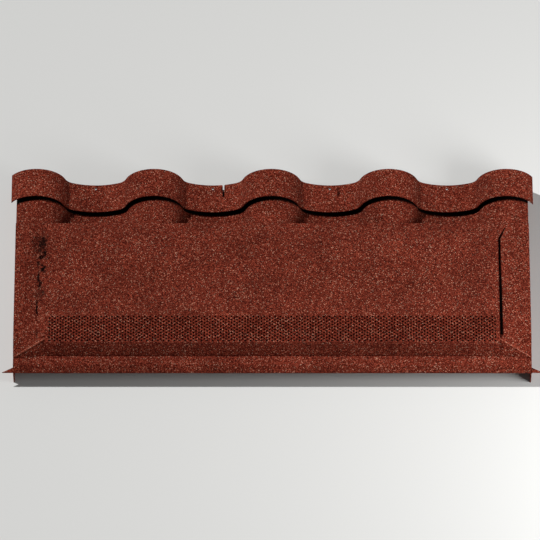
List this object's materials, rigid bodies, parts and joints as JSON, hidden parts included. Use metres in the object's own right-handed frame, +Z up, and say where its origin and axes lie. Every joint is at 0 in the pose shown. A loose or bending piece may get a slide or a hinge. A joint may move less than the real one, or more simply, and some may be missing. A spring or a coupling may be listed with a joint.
{
  "type": "roof tile vent panel",
  "caption": "Granule-coated pressed steel roof panel with a barrel-waved head strip, a low flat vent hood, a perforated strip and a stepped front apron.",
  "frame": {"origin": "centre of the bounding box on the floor it lies on", "axes": "+X across the waves, +Y up the roof towards the head strip, +Z up"},
  "size_m": [1.034, 0.4296, 0.0796],
  "materials": {
    "pan_coat": "rough stone granule coat, dark red-brown",
    "strip_coat": "rough stone granule coat, dark red-brown",
    "screen_coat": "rough stone granule coat, dark red-brown"
  },
  "bodies": {
    "root": {"vent_pan": "pan_coat", "head_strip": "strip_coat", "vent_screen": "screen_coat"}
  },
  "joints": []
}
